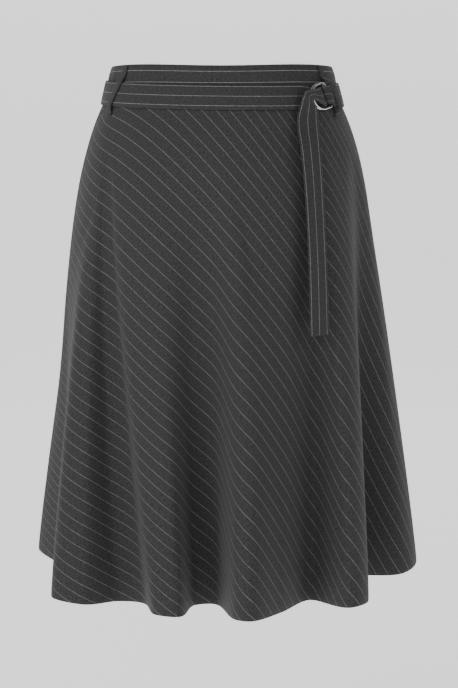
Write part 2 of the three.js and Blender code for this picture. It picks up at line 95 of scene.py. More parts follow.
def make_floor():
    """A pale floor that turns up into a wall far behind the skirt."""
    turn_y, turn_radius, wall_top, half_wide, front_y = 3.0, 1.5, 6.0, 9.0, -6.0
    steps = 12
    profile = [(front_y, FLOOR_Z), (turn_y, FLOOR_Z)]
    for k in range(1, steps + 1):
        swing = math.radians(90 * k / steps)
        profile.append((turn_y + turn_radius * math.sin(swing),
                        FLOOR_Z + turn_radius * (1 - math.cos(swing))))
    profile.append((turn_y + turn_radius, wall_top))
    vertices = [(x, y, z) for y, z in profile for x in (-half_wide, half_wide)]
    faces = [(2 * k, 2 * k + 1, 2 * k + 3, 2 * k + 2) for k in range(len(profile) - 1)]
    mesh = bpy.data.meshes.new("floor")
    mesh.from_pydata(vertices, [], faces)
    mesh.polygons.foreach_set("use_smooth", [True] * len(faces))
    floor = bpy.data.objects.new("floor", mesh)
    bpy.context.scene.collection.objects.link(floor)
    material = bpy.data.materials.new("floor")
    material.use_nodes = True
    shader = material.node_tree.nodes["Principled BSDF"]
    shader.inputs["Base Color"].default_value = (FLOOR_GREY, FLOOR_GREY, FLOOR_GREY, 1)
    shader.inputs["Roughness"].default_value = 0.9
    shader.inputs["Emission Color"].default_value = (1, 1, 1, 1)
    shader.inputs["Emission Strength"].default_value = FLOOR_GLOW
    mesh.materials.append(material)


def make_world():
    world = bpy.data.worlds.new("World")
    world.use_nodes = True
    background = world.node_tree.nodes["Background"]
    background.inputs["Color"].default_value = (1, 1, 1, 1)
    background.inputs["Strength"].default_value = WORLD_LIGHT
    bpy.context.scene.world = world


make_camera()
make_floor()
make_world()
for light in LIGHTS:
    make_area_light(*light)

# ---------------------------------------------------------------- sizes shared with the CAD part
GAP = 0.3                        # between two pieces that meet
BAND_WALL = 3.0
BAND_TOP, BAND_SEAM = 26.0, -22.0                # heights of the waistband's edges
BAND_TOP_OVAL = (140.5, 109.0)   # half width and half depth
BAND_SEAM_OVAL = (149.0, 114.5)
WAIST_OVAL = (151.0, 116.0)      # of the skirt's own upper edge
LENGTH = 621.0                   # of the cloth from the waist seam to the hem, all the way round
# How far the cloth rounds out over the hips: within reach mm of the waist, less towards the hem.
HIP = {"side": 33, "front": 20, "back": 34, "reach": 85, "fade": 0.8}
LEAN_REACH = 0.04                # share of the way down in which a line of cloth straightens
SOLID_CLOTH = 2.0                # the CAD panels' wall
CLOTH = 1.5                      # the shells' own wall, inside the solids'
BELT_WIDE, BELT_THICK = 30.0, 2.4
RING_WIDE = 23.0                 # width of a strap gathered in a ring
RING = {"at": 322.2, "arc": 15, "bar": 12.5, "corner": 4, "wire": 2.2, "lean": -12, "bend": 125}
LOOP_WIDE, LOOP_THICK, LOOP_FOOT = 9.5, 1.6, 26.0
ZIP = {"angle": 90, "wide": 24, "thick": 1.0, "top": 24, "end": -200, "clear": 0.6}

# A row for each line of cloth along a fold. Columns: name, its angle once it has straightened,
# how many degrees further round it starts at the waist seam, where it meets the hem (x and y),
# and the share of the way down where the fold starts.
HEM = [
    ("left seam", 183.0, 20.0, -243, 100, 0.42),
    ("left flap", 186.0, 19.2, -254, 80, 0.52),
    ("left tuck", 190.0, 16.4, -204, 6, 0.35),
    ("left side", 197.0, 11.4, -204, -50, 0.30),
    ("left corner", 203.0, 7.0, -211, -140, 0.25),
    ("left plain", 206.0, 5.3, -172, -157, 0.20),
    ("left hollow", 208.8, 3.9, -131, -124, 0.10),
    ("left foot", 212.8, 1.8, -99, -130, 0.10),
    ("crest one, left", 218.5, 1.5, -80, -192, 0.14),
    ("crest one, right", 238.0, 0, -52, -200, 0.14),
    ("hollow one, left", 257.0, 0, -34, -136, 0.10),
    ("hollow one, right", 264.5, 0, -8, -132, 0.10),
    ("crest two, left", 276.0, 0, 18, -218, 0.20),
    ("crest two", 281.0, 0, 35, -231, 0.30),
    ("crest two, right", 296.0, 0, 72, -178, 0.30),
    ("hollow two", 312.0, 0, 112, -116, 0.04),
    ("crest three", 320.5, 0, 158, -172, 0.08),
    ("right corner", 329.0, 0, 182, -147, 0.12),
    ("right tuck", 344.0, 0, 166, -10, 0.10),
    ("right flap", 360.7, 0, 238, -20, 0.23),
    ("right seam", 372.0, 0, 262, 30, 0.23),
    ("right back tuck", 390.6, 0, 224, 105, 0.30),
    ("right back crest", 406.2, 0, 205, 178, 0.30),
    ("back hollow, right", 420.9, 0, 130, 178, 0.30),
    ("back crest, right", 435.4, 0, 82, 240, 0.30),
    ("back seam", 450.0, 0, 10, 204, 0.30),
    ("back crest, left", 466.1, 0, -62, 246, 0.30),
    ("back hollow, left", 481.6, 0.3, -112, 186, 0.30),
    ("left back crest", 498.0, 2.0, -186, 192, 0.30),
    ("left back tuck", 520.0, 16.0, -210, 138, 0.35),
]
# rows are the folds at a panel's two seams. Stripes run straight on the flat cloth: grain is
# their slope below level in the column of cloth at the angle grain_at, and shift moves them.
PANELS = [
    {"name": "skirt_front", "rows": ("left seam", "right seam"),
     "grain": 46.9, "shift": -0.9, "grain_at": 270, "hangs_from": "waistband_front"},
    {"name": "skirt_back_right", "rows": ("right seam", "back seam"),
     "grain": 52.0, "shift": 0.0, "grain_at": 450, "hangs_from": "waistband_back_right"},
    {"name": "skirt_back_left", "rows": ("back seam", "left seam"),
     "grain": -52.0, "shift": 0.0, "grain_at": 450, "hangs_from": "waistband_back_left"},
]
FLAT_RADIUS = 249.0              # radius of the flat pattern's waist edge
WAIST_TURNING, HEM_TURNING = 1.12, 0.85          # turn of the stripes, 1 on the flat pattern
SAG = 0.09                       # how far the bias cloth has dropped, growing to the hem
PITCH = 13.4                     # between two stripes


# ---------------------------------------------------------------- ovals round the waist
def on_oval(oval, angle):
    turn = np.radians(angle)
    return np.stack([oval[0] * np.cos(turn), oval[1] * np.sin(turn)], -1)


def oval_normal(oval, angle):
    turn = np.radians(angle)
    n = np.stack([np.cos(turn) / oval[0], np.sin(turn) / oval[1]], -1)
    return n / np.linalg.norm(n, axis=-1, keepdims=True)


# ---------------------------------------------------------------- the skirt's surface
def hem_outline(steps):
    """A closed centripetal spline through the rows of HEM, in its columns after the name."""
    rows = [np.array(row[1:], float) for row in HEM]
    count = len(rows)
    points = []

    def row_at(r):
        return rows[r % count] + (r // count) * np.array([360.0, 0, 0, 0, 0])

    def knot(a, b):
        return math.sqrt(math.hypot(*(b[2:4] - a[2:4])))

    def mix(a, b, ta, tb, t):
        return ((tb - t) * a + (t - ta) * b) / (tb - ta)

    for r in range(count):
        p = [row_at(r + k) for k in (-1, 0, 1, 2)]
        t1 = knot(p[0], p[1])
        t2 = t1 + knot(p[1], p[2])
        t3 = t2 + knot(p[2], p[3])
        for s in range(steps):
            t = t1 + (t2 - t1) * s / steps
            a1 = mix(p[0], p[1], 0, t1, t)
            a2 = mix(p[1], p[2], t1, t2, t)
            a3 = mix(p[2], p[3], t2, t3, t)
            points.append(mix(mix(a1, a2, 0, t2, t), mix(a2, a3, t1, t3, t), t1, t2, t))
    return np.array(points)


class Skirt:
    """The skirt's middle surface, as columns of cloth that run from the waist to the hem."""

    def __init__(self, steps):
        columns = hem_outline(steps)
        self.angle, self.lean, self.start = columns[:, 0], columns[:, 1], columns[:, 4]
        self.hem = columns[:, 2:4]
        self.count = len(columns)
        names = [row[0] for row in HEM]
        self.spans = {}
        for panel in PANELS:
            first, last = (names.index(row) * steps for row in panel["rows"])
            self.spans[panel["name"]] = (first, last if last > first else last + self.count)
        self.smooth = self.let_out(np.linalg.norm(np.roll(self.hem, -1, 0) - self.hem, axis=1))
        outside = 1 - 1 / np.linalg.norm(self.hem / np.array(WAIST_OVAL), axis=1)
        reach = np.linalg.norm(self.hem, axis=1) * outside
        self.drop = np.sqrt(LENGTH ** 2 - reach ** 2)

    def let_out(self, gaps):
        """The hem with its folds let out: its mean and first two harmonics round its length."""
        total = gaps.sum()
        phase = 2 * np.pi * np.concatenate([[0], np.cumsum(gaps)[:-1]]) / total
        weight = (gaps + np.roll(gaps, 1)) / (2 * total)
        smooth = np.zeros((self.count, 2))
        for h in range(3):
            share = 1 if h == 0 else 2
            for wave in (np.cos(h * phase), np.sin(h * phase)):
                amount = share * (weight[:, None] * self.hem * wave[:, None]).sum(0)
                smooth += wave[:, None] * amount
        return smooth

    def points(self, downs):
        """Points [column][row] for shares 0 to 1 of the way down the cloth."""
        v = np.asarray(downs)[None, :]
        angle = self.angle[:, None] + self.lean[:, None] * np.exp(-v / LEAN_REACH)
        waist, out = on_oval(WAIST_OVAL, angle), oval_normal(WAIST_OVAL, angle)
        facing = np.where(out[..., 1] < 0, HIP["front"], HIP["back"])
        hip = HIP["side"] * out[..., 0] ** 2 + facing * out[..., 1] ** 2
        hip = hip * (1 - np.exp(-v * LENGTH / HIP["reach"])) * np.maximum(0, 1 - v) ** HIP["fade"]
        start = self.start[:, None]
        fold = np.maximum(0, (v - start) / (1 - start))
        flat = (waist + (self.smooth[:, None] - waist) * v[..., None]
                + (self.hem - self.smooth)[:, None] * fold[..., None] + out * hip[..., None])
        z = BAND_SEAM - GAP / 2 - self.drop[:, None] * v
        return np.concatenate([flat, z[..., None]], -1)


def normals_of(points, closed):
    """Outward normals of a grid [column][row] whose columns run to the right."""
    if closed:
        along = np.roll(points, -1, 0) - np.roll(points, 1, 0)
    else:
        along = np.gradient(points, axis=0)
    down = np.gradient(points, axis=1)
    n = np.cross(down, along)
    return n / np.linalg.norm(n, axis=-1, keepdims=True)


# ---------------------------------------------------------------- meshes from grids
SHARP = math.radians(60)         # an edge that turns further than this is shaded sharp


def mesh_object(name, vertices, faces, uvs, material, body=BODY):
    """A smooth mesh in metres from points in millimetres, with the cloth's own flat map."""
    mesh = bpy.data.meshes.new(name)
    mesh.from_pydata((np.asarray(vertices) * MM).tolist(), [], faces)
    shell = bmesh.new()
    shell.from_mesh(mesh)
    bmesh.ops.recalc_face_normals(shell, faces=shell.faces)
    shell.to_mesh(mesh)
    shell.free()
    layer = mesh.uv_layers.new(name="Cloth")
    index = np.zeros(len(mesh.loops), int)
    mesh.loops.foreach_get("vertex_index", index)
    layer.data.foreach_set("uv", (np.asarray(uvs)[index] * MM).ravel())
    mesh.polygons.foreach_set("use_smooth", [True] * len(mesh.polygons))
    mesh.set_sharp_from_angle(angle=SHARP)
    mesh.materials.append(material)
    mesh.update()
    obj = bpy.data.objects.new(name, mesh)
    bpy.context.scene.collection.objects.link(obj)
    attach(obj, body)
    return obj


def tube_faces(rings, around, closed_ends=True):
    """Faces of a tube of rings of points; each ring has the same number around it."""
    faces = []
    for i in range(rings - 1):
        for j in range(around):
            k = (j + 1) % around
            faces.append((i * around + j, (i + 1) * around + j,
                          (i + 1) * around + k, i * around + k))
    if closed_ends:
        faces.append(tuple(range(around)))
        faces.append(tuple((rings - 1) * around + j for j in reversed(range(around))))
    return faces


# ---------------------------------------------------------------- materials
class Nodes:
    """A material's node tree, with short calls for the nodes that the cloths use."""

    def __init__(self, name):
        self.material = bpy.data.materials.new(name)
        self.material.use_nodes = True
        self.tree = self.material.node_tree
        self.shader = self.tree.nodes["Principled BSDF"]

    def add(self, kind, **inputs):
        node = self.tree.nodes.new(kind)
        for key, value in inputs.items():
            socket = node.inputs[key.replace("_", " ")]
            self.set(socket, value)
        return node

    def set(self, socket, value):
        if isinstance(value, bpy.types.NodeSocket):
            self.tree.links.new(value, socket)
        else:
            socket.default_value = value

    def math(self, operation, *values):
        node = self.tree.nodes.new("ShaderNodeMath")
        node.operation = operation
        for k, value in enumerate(values):
            self.set(node.inputs[k], value)
        return node.outputs[0]

    def ramp(self, value, low, high, to_low=0.0, to_high=1.0):
        node = self.tree.nodes.new("ShaderNodeMapRange")
        node.interpolation_type = "SMOOTHSTEP"
        for k, v in enumerate((value, low, high, to_low, to_high)):
            self.set(node.inputs[k], v)
        return node.outputs[0]

    def mix(self, share, a, b):
        node = self.tree.nodes.new("ShaderNodeMix")
        node.data_type = "RGBA"
        self.set(node.inputs["Factor"], share)
        self.set(node.inputs["A"], a)
        self.set(node.inputs["B"], b)
        return node.outputs["Result"]

    def noise(self, vector, scale, detail=2.0, roughness=0.5):
        node = self.tree.nodes.new("ShaderNodeTexNoise")
        self.set(node.inputs["Vector"], vector)
        self.set(node.inputs["Scale"], scale)
        self.set(node.inputs["Detail"], detail)
        self.set(node.inputs["Roughness"], roughness)
        return node.outputs["Fac"]

    def stretched(self, across, along, across_scale, along_scale):
        node = self.tree.nodes.new("ShaderNodeCombineXYZ")
        self.set(node.inputs[0], self.math("MULTIPLY", across, across_scale))
        self.set(node.inputs[1], self.math("MULTIPLY", along, along_scale))
        return node.outputs[0]

    def cloth_map(self):
        """The cloth's own flat map: metres across the stripes and along them."""
        uv = self.tree.nodes.new("ShaderNodeUVMap")
        uv.uv_map = "Cloth"
        parts = self.tree.nodes.new("ShaderNodeSeparateXYZ")
        self.tree.links.new(uv.outputs[0], parts.inputs[0])
        return parts.outputs[0], parts.outputs[1]


YARN = 0.00055                   # metres between two yarns of the weave
PINS = 0.0012                    # metres between two pin dots along a stripe
TAPE_RIB, TAPE_ZIGZAG = 0.0008, 0.002            # metres, on the zip's tape
# How fine each noise is across the stripes and along them.
FLECK, WARP, WEFT, BROKEN = (620, 300), (1500, 260), (260, 1500), (40, 420)
STRIPE_CORE, STRIPE_EDGE = 0.16, 0.42            # millimetres from a stripe's middle
STRIPE_WANDER = 0.25             # millimetres
DARK, LIGHT = (0.0155, 0.0152, 0.0162, 1), (0.052, 0.0515, 0.0525, 1)
BIAS_STRIPE, STRAIGHT_STRIPE = (0.20, 0.20, 0.205, 1), (0.29, 0.29, 0.295, 1)


def suiting(name, stripe):
    """Charcoal melange suiting with pinstripes: light and dark fibres, a fine twill, soft nap."""
    n = Nodes(name)
    across, along = n.cloth_map()
    fleck = n.noise(n.stretched(across, along, *FLECK), 1.0, 3.0, 0.65)
    warp = n.noise(n.stretched(across, along, *WARP), 1.0, 1.0)
    weft = n.noise(n.stretched(across, along, *WEFT), 1.0, 1.0)
    blend = n.math("ADD", n.math("MULTIPLY", fleck, 0.5),
                   n.math("MULTIPLY", n.math("ADD", warp, weft), 0.25))
    ground = n.mix(n.ramp(blend, 0.33, 0.68), DARK, LIGHT)
    place = n.math("FRACT", n.math("DIVIDE", across, PITCH * MM))
    off_line = n.math("ABSOLUTE", n.math("SUBTRACT", place, 0.5))
    off_line = n.math("MULTIPLY", off_line, PITCH)
    wander = n.math("MULTIPLY", n.math("SUBTRACT", warp, 0.5), STRIPE_WANDER)
    line = n.ramp(n.math("ADD", off_line, wander), STRIPE_CORE, STRIPE_EDGE, 1.0, 0.0)
    pins = n.math("SINE", n.math("MULTIPLY", along, 2 * math.pi / PINS))
    broken = n.noise(n.stretched(across, along, *BROKEN), 1.0, 2.0)
    strength = n.math("ADD", n.math("MULTIPLY", pins, 0.16), n.ramp(broken, 0.25, 0.75, 0.42, 1.0))
    line = n.math("MULTIPLY", line, strength)
    colour = n.mix(line, ground, stripe)
    n.set(n.shader.inputs["Base Color"], colour)
    n.shader.inputs["Roughness"].default_value = 0.9
    n.shader.inputs["Specular IOR Level"].default_value = 0.25
    n.shader.inputs["Sheen Weight"].default_value = 0.10
    n.shader.inputs["Sheen Roughness"].default_value = 0.45
    n.shader.inputs["Sheen Tint"].default_value = (0.8, 0.8, 0.85, 1)
    twill = n.math("SINE", n.math("MULTIPLY", n.math("ADD", across, along), 2 * math.pi / YARN))
    ribs = n.math("SINE", n.math("MULTIPLY", across, 2 * math.pi / YARN))
    height = n.math("ADD", n.math("MULTIPLY", n.math("ADD", twill, ribs), 0.25), fleck)
    bump = n.add("ShaderNodeBump", Height=height, Strength=0.35, Distance=0.00025)
    n.set(n.shader.inputs["Normal"], bump.outputs[0])
    return n.material


def tape_cloth():
    """The zip's tape: dark, with a fine herringbone that changes direction every few ribs."""
    n = Nodes("zip_tape")
    across, along = n.cloth_map()
    zigzag = n.math("PINGPONG", across, TAPE_ZIGZAG)
    rib = n.math("SINE", n.math("MULTIPLY", n.math("ADD", along, zigzag), 2 * math.pi / TAPE_RIB))
    colour = n.mix(n.ramp(rib, -1, 1), (0.012, 0.012, 0.013, 1), (0.028, 0.028, 0.030, 1))
    n.set(n.shader.inputs["Base Color"], colour)
    n.shader.inputs["Roughness"].default_value = 0.8
    bump = n.add("ShaderNodeBump", Height=rib, Strength=0.4, Distance=0.0002)
    n.set(n.shader.inputs["Normal"], bump.outputs[0])
    return n.material


def steel():
    """Polished steel with faint handling marks in its gloss."""
    n = Nodes("polished_steel")
    place = n.tree.nodes.new("ShaderNodeTexCoord").outputs["Object"]
    marks = n.noise(place, 900.0, 3.0, 0.6)
    n.set(n.shader.inputs["Roughness"], n.ramp(marks, 0.3, 0.8, 0.10, 0.24))
    tint = n.noise(place, 160.0, 2.0)
    n.set(n.shader.inputs["Base Color"],
          n.mix(tint, (0.66, 0.66, 0.67, 1), (0.80, 0.80, 0.80, 1)))
    n.shader.inputs["Metallic"].default_value = 1.0
    return n.material


def coil_plastic():
    """The zip's teeth: dark nylon."""
    n = Nodes("zip_coil")
    place = n.tree.nodes.new("ShaderNodeTexCoord").outputs["Object"]
    n.set(n.shader.inputs["Base Color"],
          n.mix(n.noise(place, 700.0), (0.012, 0.012, 0.013, 1), (0.03, 0.03, 0.032, 1)))
    n.shader.inputs["Roughness"].default_value = 0.4
    return n.material


BIAS_CLOTH = suiting("pinstripe_bias_cloth", BIAS_STRIPE)
STRAIGHT_CLOTH = suiting("pinstripe_straight_cloth", STRAIGHT_STRIPE)
TAPE = tape_cloth()
STEEL = steel()
COIL = coil_plastic()

# ---------------------------------------------------------------- the panels
skirt = Skirt(14)                # columns of cloth between two rows of HEM
PANEL_ROWS, ROW_CROWDING = 110, 1.12             # rows lie closer together near the waist
HEM_TURN = 30.0                  # depth of the hem's turning inside
TURN_ROWS = (1.2, 0.5, -0.5, -1.2)               # extra rows above and below its edge
TURN_THICK, TURN_STEP = 1.1, 0.7                 # what it adds inside, and its edge's softness
HEM_ROUND = 4                    # steps round the hem's fold
SEAM_DIP, SEAM_REACH = 0.75, 1.5                 # depth and reach of the hollow by a seam
SEAM_CLOSES = 0.5                # how far from a seam its gap fades away
SEWN_SHARE = -0.6                # inside, a seam's two sides lap by this share of its gap
EDGE_STEPS = (0.0, 0.05, 0.14, 0.30, 0.55)       # extra columns by a seam, in columns


def panel_downs():
    """Shares of the way down for a panel's rows."""
    rows = (np.arange(PANEL_ROWS + 1) / PANEL_ROWS) ** ROW_CROWDING
    step = 1 - (HEM_TURN + np.array(TURN_ROWS)) / LENGTH
    return np.sort(np.concatenate([rows, step]))


def panel_columns(first, last):
    """The columns of cloth from one seam to the next, with more of them by each seam."""
    inner = np.arange(first + 1, last)
    return np.concatenate([first + np.array(EDGE_STEPS), inner,
                           last - np.array(EDGE_STEPS[::-1])])


def at_columns(grid, columns):
    """A closed grid's values at whole or part columns."""
    low = np.floor(columns).astype(int)
    part = (columns - low).reshape(-1, *([1] * (grid.ndim - 1)))
    count = grid.shape[0]
    return grid[low % count] * (1 - part) + grid[(low + 1) % count] * part


def lengths_along(points, axis):
    """How far along each line of a grid its points lie."""
    steps = np.linalg.norm(np.diff(points, axis=axis), axis=-1)
    zero = np.zeros_like(np.take(steps, [0], axis=axis))
    return np.concatenate([zero, np.cumsum(steps, axis=axis)], axis=axis)


def flat_map(panel, points, columns, downs):
    """Where each point lies on the flat cloth: millimetres across the stripes and along them."""
    angles = at_columns(np.append(skirt.angle, skirt.angle[0] + 360), columns)
    home = int(np.argmin(np.abs(angles - panel["grain_at"])))
    arcs = lengths_along(points, 0)
    radius = FLAT_RADIUS + lengths_along(points, 1)
    turning = WAIST_TURNING + (HEM_TURNING - WAIST_TURNING) * downs
    sag = SAG * LENGTH * downs ** 2 / 2
    slope = math.radians(panel["grain"]) + (arcs - arcs[home]) * turning / radius
    across = panel["shift"] - sag - radius * np.cos(slope)
    return np.stack([across, radius * np.sin(slope)], -1)


def make_panel(panel, net, normals, downs):
    """A panel's shell: its outer face, its rounded hem and its inner face, closed at both seams."""
    first, last = skirt.spans[panel["name"]]
    columns = panel_columns(first, last)
    points = at_columns(net, columns)
    n = at_columns(normals, columns)
    n /= np.linalg.norm(n, axis=-1, keepdims=True)
    cloth = flat_map(panel, points, columns, downs)
    arcs = lengths_along(points, 0)
    from_seam = np.minimum(arcs, arcs[-1:] - arcs)
    to_hem = LENGTH * (1 - downs)[None, :]
    along = np.gradient(points, axis=0)
    along /= np.linalg.norm(along, axis=-1, keepdims=True)
    side = np.where(arcs < arcs[-1:] - arcs, 1.0, -1.0)
    gap = (GAP / 2) * np.exp(-from_seam / SEAM_CLOSES) * side
    dip = SEAM_DIP * np.exp(-(from_seam / SEAM_REACH) ** 2)
    turned = TURN_THICK / (1 + np.exp((to_hem - HEM_TURN) / TURN_STEP))
    outer = points + along * gap[..., None] + n * (CLOTH / 2 - dip)[..., None]
    sewn = points + along * (gap * SEWN_SHARE)[..., None]
    inner = sewn - n * (CLOTH / 2 + turned)[..., None]
    down = points[:, -1] - points[:, -2]
    down /= np.linalg.norm(down, axis=-1, keepdims=True)
    low, high = inner[:, -1], outer[:, -1]
    middle, half = (low + high) / 2, (high - low) / 2
    depth = np.linalg.norm(half, axis=-1, keepdims=True)
    rounds = []
    for k in range(1, HEM_ROUND):
        swing = math.pi * k / HEM_ROUND
        rounds.append(middle + half * math.cos(swing) + down * depth * math.sin(swing))
    rows = len(downs)
    ring = np.concatenate([outer, np.stack(rounds, 1), inner[:, ::-1]], 1)
    maps = np.concatenate([cloth, np.repeat(cloth[:, -1:], HEM_ROUND - 1, 1), cloth[:, ::-1]], 1)
    around = ring.shape[1]
    faces = tube_faces(len(columns), around, closed_ends=False)
    back = [around - 1 - j for j in range(rows)]
    for i, flip in ((0, False), (len(columns) - 1, True)):
        base = i * around
        caps = [(j, back[j], back[j + 1], j + 1) for j in range(rows - 1)]
        caps.append((rows - 1, *(back[rows - 1] - k for k in range(HEM_ROUND))))
        for cap in caps:
            cap = tuple(base + v for v in cap)
            faces.append(cap[::-1] if flip else cap)
    obj = mesh_object(panel["name"] + "_cloth", ring.reshape(-1, 3), faces,
                      maps.reshape(-1, 2), BIAS_CLOTH)
    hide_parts(panel["name"])


downs = panel_downs()
net = skirt.points(downs)
net_normals = normals_of(net, closed=True)
for panel in PANELS:
    make_panel(panel, net, net_normals, downs)


# ---------------------------------------------------------------- the waistband
# Columns: name, and the angles of its two ends.
BANDS = [
    ("waistband_front", 203, 372),
    ("waistband_back_right", 372, 450),
    ("waistband_back_left", 450, 563),
]
BAND_SKIN = 0.15                 # the shell lies this far inside the solid's faces
BAND_FOLD, BAND_ROUND = 2.2, 2.0                 # where the top fold starts, and its height
BAND_FOOT, BAND_CORNER = 0.2, 0.6                # where the lower edge ends and its faces start
BAND_ROWS, FOLD_STEPS = 14, 8
BAND_RADIUS, BAND_MM_PER_DEGREE = 130, 2.4       # about, for the gaps and pinches at its seams
PINCH_DEEP, PINCH_REACH = 0.5, 1.2
ROLL = {"deep": 2.2, "from": 12.0, "over": 14.0, "growth": 1.6}
WAVE = {"high": 0.9, "waves": 4, "at": 270}
BAND_FIRST_STRIPE, BAND_STRIPES = 7.7, 13.7      # below the top edge, and between two stripes


def band_point(angle, z, out):
    """A point of the waistband, out from the middle of its wall."""
    up = (z - BAND_SEAM) / (BAND_TOP - BAND_SEAM)
    oval = [a + (b - a) * up for a, b in zip(BAND_SEAM_OVAL, BAND_TOP_OVAL)]
    p = on_oval(oval, angle) + oval_normal(oval, angle) * out
    return np.array([p[0], p[1], z])


def band_section():
    """The band's wall as a closed outline of (distance out, height), folded over at its top."""
    half = BAND_WALL / 2 - BAND_SKIN
    low, high = BAND_SEAM + BAND_CORNER, BAND_TOP - BAND_FOLD
    outer = [(half, z) for z in np.linspace(low, high, BAND_ROWS)]
    fold = []
    for k in range(1, FOLD_STEPS):
        swing = math.pi * k / FOLD_STEPS
        fold.append((half * math.cos(swing), high + BAND_ROUND * math.sin(swing)))
    inner = [(-half, z) for z in np.linspace(high, low, BAND_ROWS)]
    foot = [(side * half / 2, BAND_SEAM + BAND_FOOT) for side in (-1, 1)]
    return outer + fold + inner + foot


def band_roll(z):
    """The upper edge curls in a little."""
    return -ROLL["deep"] * max(0.0, (z - ROLL["from"]) / ROLL["over"]) ** ROLL["growth"]


def band_wave(angle, z):
    """The upper edge rises and falls by about a millimetre round the front."""
    share = max(0.0, (z - BAND_SEAM) / (BAND_TOP - BAND_SEAM))
    return -WAVE["high"] * share * math.cos(math.radians(WAVE["waves"] * (angle - WAVE["at"])))


def make_band(name, start, end):
    """A piece of the waistband between two angles, and the length of its middle."""
    turn = math.degrees(GAP / 2 / BAND_RADIUS)
    angles = np.linspace(start + turn, end - turn, max(24, int(end - start)))
    section = band_section()
    vertices, maps = [], []
    ends = (angles[0], angles[-1])
    arc = 0.0
    before = None
    for angle in angles:
        from_seam = min(abs(angle - e) for e in ends) * BAND_MM_PER_DEGREE
        pinch = PINCH_DEEP * math.exp(-(from_seam / PINCH_REACH) ** 2)
        p = band_point(angle, 0, 0)
        arc += 0 if before is None else float(np.linalg.norm(p - before))
        before = p
        for out, z in section:
            firm = out - math.copysign(pinch, out)
            height = z + band_wave(angle, z)
            vertices.append(band_point(angle, height, firm + band_roll(z)))
            across = BAND_TOP - z - BAND_FIRST_STRIPE
            maps.append((across * PITCH / BAND_STRIPES + PITCH / 2, arc + start))
    obj = mesh_object(name + "_cloth", vertices, tube_faces(len(angles), len(section)),
                      maps, STRAIGHT_CLOTH)
    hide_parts(name)
    return obj, arc


for name, start, end in BANDS:
    band, arc = make_band(name, start, end)


# ---------------------------------------------------------------- straps
def skirt_at(angle, z, out):
    """A point of the skirt at a height, found between the two columns of cloth beside it."""
    down = (BAND_SEAM - z) / LENGTH
    turned = skirt.angle + skirt.lean * math.exp(-down / LEAN_REACH)
    target = (angle - turned[0]) % 360 + turned[0]
    around = np.append(turned, turned[0] + 360)
    after = int(np.searchsorted(around, target, side="right"))
    part = (target - around[after - 1]) / (around[after] - around[after - 1])
    pair = np.array([after - 1, after]) % skirt.count
    drop = skirt.drop[pair] @ np.array([1 - part, part])
    near = skirt.points([(BAND_SEAM - z) / drop])[pair, 0]
    p = near[0] + (near[1] - near[0]) * part
    p[:2] += oval_normal(WAIST_OVAL, angle) * out
    p[2] = z
    return p


def outside(angle, z, out):
    """A point this far out from the face of the waistband or, below it, of the skirt."""
    if z >= BAND_SEAM:
        return band_point(angle, z, BAND_WALL / 2 + out)
    return skirt_at(angle, z, SOLID_CLOTH / 2 + out)


# Height of the belt's middle: it sits a little higher at the left and dips at the front.
BELT = {"height": -9, "tilt": 1.5, "dip": 4.5}


def belt_height(angle):
    turn = math.radians(angle)
    return BELT["height"] - BELT["tilt"] * math.cos(turn) + BELT["dip"] * min(0.0, math.sin(turn))


def belt_point(angle, off, up, wide):
    """A point of a strap this wide: off the cloth below, and up from -1 to 1 across the strap."""
    top = outside(angle, belt_height(angle) + BELT_WIDE / 2, off)
    foot = outside(angle, belt_height(angle) - BELT_WIDE / 2, off)
    return foot + (top - foot) * (0.5 + up * wide / (2 * BELT_WIDE))


LAYER = 0.6 + BELT_THICK / 2     # middle of a strap that lies on the band
MM_PER_DEGREE = 2.29             # along the belt near the rings
# How far off the band the two rings lie, one over the other, and the straps round them.
FIRST_RING = LAYER + BELT_THICK / 2 + GAP + RING["wire"] / 2
SECOND_RING = FIRST_RING + RING["wire"] + GAP
OVER_RINGS = SECOND_RING + RING["wire"] / 2 + 2 * GAP + BELT_THICK / 2
SLOPE = math.tan(math.radians(RING["lean"]))     # the straps round a ring lean with it
WRAP_TURN, TAIL_TURN = 9.5, -2.4                 # where the sewn end and the tail turn back
WRAP_END = 3                     # where the belt meets its tail, left of the rings' middle
BELT_STEPS = 100


def ring_at(mm):
    """The angle this far to the right of the rings' middle."""
    return RING["at"] + mm / MM_PER_DEGREE


def stand_off(mm):
    """A ring is flat, and the band bends away behind it."""
    return mm * mm / (2 * RING["bend"])


def half_turn(centre, start, end, side, rise, steps=6):
    """Steps (mm, off, wide, rise, slope) of a strap that turns back on itself."""
    radius = abs(end - start) / 2
    path = []
    for k in range(steps + 1):
        swing = math.pi * k / steps
        off = (start + end) / 2 + (start - end) / 2 * math.cos(swing)
        path.append((centre + side * radius * math.sin(swing), off, RING_WIDE, rise, SLOPE))
    return path


